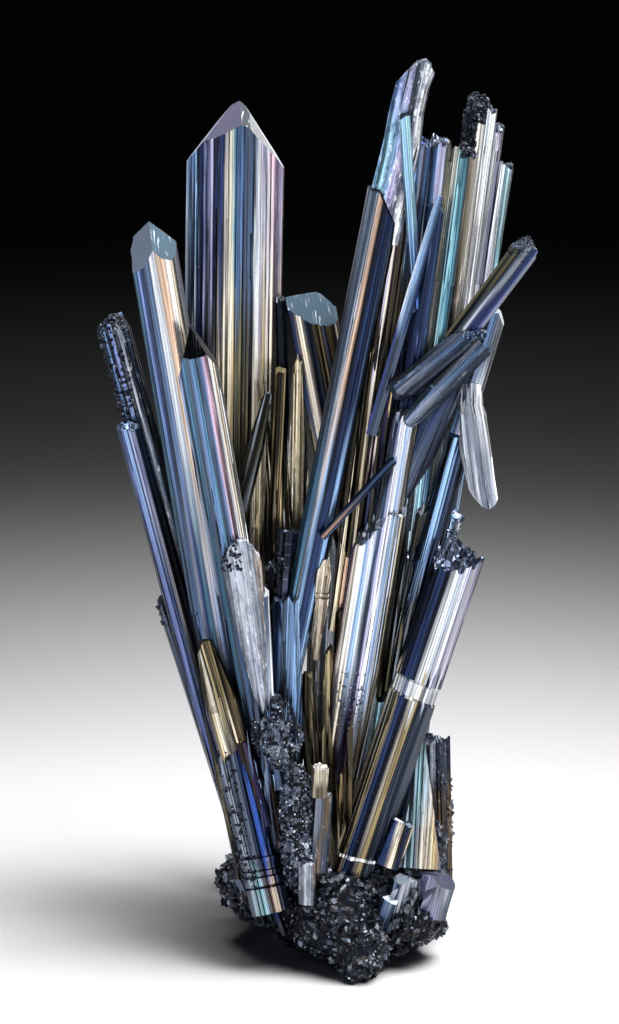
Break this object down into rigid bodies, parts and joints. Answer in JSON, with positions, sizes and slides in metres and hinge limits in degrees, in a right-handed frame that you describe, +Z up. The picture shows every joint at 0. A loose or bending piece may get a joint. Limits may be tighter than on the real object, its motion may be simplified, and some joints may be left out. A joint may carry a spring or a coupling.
{
  "type": "stibnite crystal spray",
  "caption": "Stibnite crystal spray: long ridged metallic blades with blue and gold tarnish, fanning upright from a dark granular matrix cut flat underneath.",
  "frame": {"origin": "middle of the spray's box in plan, on the flat cut underside of the matrix", "axes": "+Z up, along the spray; +X to the right across the fan; -Y towards the front"},
  "size_m": [0.1154, 0.0902, 0.2416],
  "materials": {
    "blue_stibnite": "metallic, ridged, blue-steel tarnish with iridescent bands",
    "silver_stibnite": "metallic, ridged, silver-white with lilac and cream bands",
    "gold_stibnite": "metallic, ridged, gold and brown tarnish over navy",
    "navy_stibnite": "metallic, smooth to ridged, navy to black",
    "frosted_stibnite": "metallic, pitted and granular, grey",
    "matrix_rock": "dark granular sulphide with small bright grains"
  },
  "bodies": {
    "root": {"tall_sword_crystal": "blue_stibnite", "dark_tip_spear": "blue_stibnite", "left_spear_crystal": "blue_stibnite", "long_front_blade": "blue_stibnite", "right_column_crystal": "silver_stibnite", "cream_column_crystal": "silver_stibnite", "square_end_crystal": "gold_stibnite", "golden_front_blade": "gold_stibnite", "right_blade_cluster": "blue_stibnite", "deep_blue_blade": "blue_stibnite", "splintered_gold_blade": "gold_stibnite", "hooked_blade": "silver_stibnite", "navy_blade": "navy_stibnite", "leaning_lath": "blue_stibnite", "pale_lath": "silver_stibnite", "upper_arm_crystal": "blue_stibnite", "crossing_arm_upper": "navy_stibnite", "crossing_arm_lower": "navy_stibnite", "slanted_blade": "silver_stibnite", "drooping_blade": "silver_stibnite", "leaf_blade": "navy_stibnite", "blue_flank_blade": "blue_stibnite", "small_pale_crystal": "silver_stibnite", "olive_shards": "navy_stibnite", "diagonal_rod": "navy_stibnite", "left_edge_blade": "blue_stibnite", "crusted_crystal": "frosted_stibnite", "outer_left_blade": "navy_stibnite", "frosted_blade": "frosted_stibnite", "white_spike": "silver_stibnite", "ridged_blue_blade": "blue_stibnite", "notched_prism": "gold_stibnite", "pale_stub_crystal": "silver_stibnite", "stepped_block_crystal": "navy_stibnite", "scratched_back_crystal": "gold_stibnite", "pale_gold_crystal": "gold_stibnite", "gold_band_blade": "gold_stibnite", "grey_slab": "navy_stibnite", "thin_dark_blade": "navy_stibnite", "middle_shards": "gold_stibnite", "teal_thorn_blade": "blue_stibnite", "brown_flank_column": "frosted_stibnite", "leaning_stub_prism": "gold_stibnite", "tan_prism": "gold_stibnite", "cream_cube": "silver_stibnite", "smooth_end_block": "silver_stibnite", "tabular_group": "blue_stibnite", "grey_foot_blocks": "frosted_stibnite", "back_tall_blade": "blue_stibnite", "back_right_blade": "blue_stibnite", "back_left_spear": "gold_stibnite", "back_middle_prism": "silver_stibnite", "back_low_left_crystal": "gold_stibnite", "back_low_right_crystal": "blue_stibnite", "back_stub_pair": "silver_stibnite", "front_druse": "frosted_stibnite", "matrix_base": "matrix_rock"}
  },
  "joints": []
}
